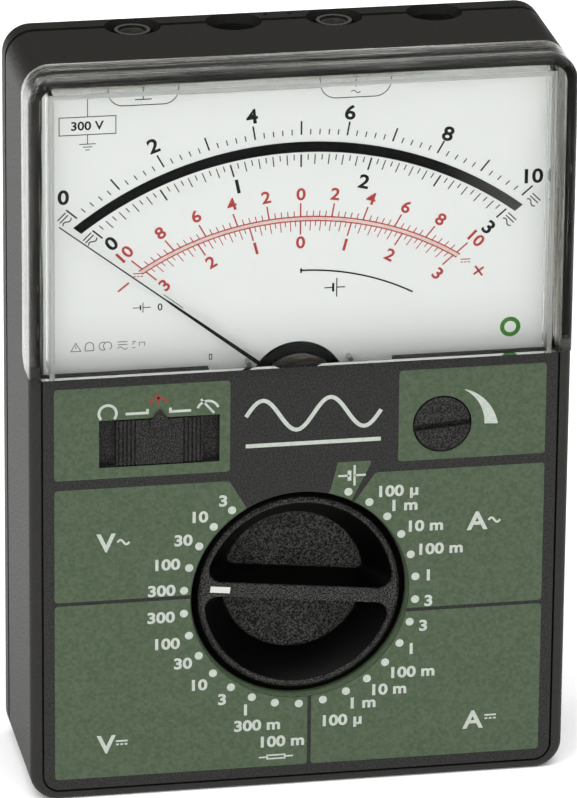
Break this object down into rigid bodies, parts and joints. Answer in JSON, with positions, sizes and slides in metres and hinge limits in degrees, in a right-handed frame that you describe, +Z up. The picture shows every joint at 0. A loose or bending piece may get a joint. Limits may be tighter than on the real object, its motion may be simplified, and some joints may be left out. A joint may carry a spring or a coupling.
{
  "type": "analog multimeter",
  "caption": "Pocket analog multimeter with a clear-hooded mirror-scale moving-coil dial, a flush rotary range selector, a mode slider, an adjusting knob and top safety sockets.",
  "frame": {"origin": "centre of the bottom of the bounding box, on the flat lower end", "axes": "+Z up the face, +Y from the face to the back, +X to the right seen from the front"},
  "size_m": [0.1, 0.035, 0.14],
  "materials": {
    "case_plastic": "fine spark-eroded grain, satin",
    "panel_print": "fine grained, matt",
    "clear_acrylic": "clear moulded acrylic, polished",
    "plate_white": "matt white enamel",
    "mirror": "polished mirror film",
    "black_moulding": "matt black",
    "soft_iron": "blackened iron",
    "magnet_steel": "ground cast magnet",
    "brass": "turned brass",
    "steel": "zinc-plated steel",
    "aluminium": "thin rolled sheet",
    "copper_wire": "enamelled copper wire",
    "pointer_black": "matt black paint on aluminium",
    "bronze": "spring bronze",
    "knob_black": "glossy black with grained floors",
    "white_inlay": "moulded white",
    "carrier_nylon": "natural nylon",
    "control_black": "fine grained black",
    "gold": "gold flash on copper",
    "nickel": "nickel plate",
    "wire_red": "soft insulation",
    "board_green": "solder resist on glass laminate",
    "resistor_blue": "lacquered",
    "trimmer_blue": "moulded",
    "capacitor_blue": "shrink sleeve",
    "fuse_glass": "clear glass tube",
    "cell_jacket": "printed film jacket, plain"
  },
  "bodies": {
    "case": {"front_shell": "case_plastic", "rear_shell": "case_plastic", "front_panel": "panel_print", "clear_cover": "clear_acrylic", "scale_plate": "plate_white", "mirror_strip": "mirror", "dial_carrier": "black_moulding", "scale_screws": "steel", "pointer_stops": "steel", "yoke_ring": "soft_iron", "magnet_core": "magnet_steel", "core_plate": "magnet_steel", "core_posts": "brass", "front_bridge": "brass", "rear_bridge": "brass", "bridge_pillars": "brass", "jewel_screws": "brass", "detent_spring": "steel", "contact_tracks": "gold", "slide_switch": "black_moulding", "potentiometer": "black_moulding", "socket_well_1": "black_moulding", "socket_well_2": "black_moulding", "socket_well_3": "black_moulding", "socket_well_4": "black_moulding", "socket_collars": "black_moulding", "socket_contact_left": "nickel", "socket_contact_right": "nickel", "link_wires": "wire_red", "circuit_board": "board_green", "board_screws": "steel", "shunt": "bronze", "range_resistors": "resistor_blue", "trimmers": "trimmer_blue", "amplifier_chip": "black_moulding", "capacitors": "capacitor_blue", "fuse": "fuse_glass", "fuse_caps": "nickel", "fuse_clips": "nickel", "cell": "cell_jacket", "cell_contacts": "nickel", "battery_lid": "case_plastic", "lid_screw": "steel", "case_screws": "steel"},
    "coil": {"coil_former": "aluminium", "coil_winding": "copper_wire", "pivots": "steel", "pointer": "pointer_black", "balance_weight": "brass", "hairsprings": "bronze"},
    "selector": {"selector_knob": "knob_black", "selector_index": "white_inlay", "wiper_carrier": "carrier_nylon", "wipers": "bronze", "retaining_clip": "steel"},
    "slider": {"mode_slider": "control_black"},
    "adjuster": {"adjust_knob": "control_black"}
  },
  "joints": [
    {"name": "selector_turn", "type": "hinge", "parent": "case", "child": "selector", "pos_m": [0, -0.012, 0.038], "axis": [0, -1, 0], "range_deg": [-48, 252]},
    {"name": "mode_slide", "type": "slide", "parent": "case", "child": "slider", "axis": [1, 0, 0], "range_m": [-0.003, 0.003]},
    {"name": "adjust_turn", "type": "hinge", "parent": "case", "child": "adjuster", "pos_m": [0.0261, -0.014, 0.0701], "axis": [0, -1, 0], "range_deg": [-135, 135]},
    {"name": "pointer_swing", "type": "hinge", "parent": "case", "child": "coil", "pos_m": [0, -0.007, 0.0771], "axis": [0, 1, 0], "range_deg": [0, 104.8], "stiffness_Nm_per_rad": 0.00002}
  ]
}
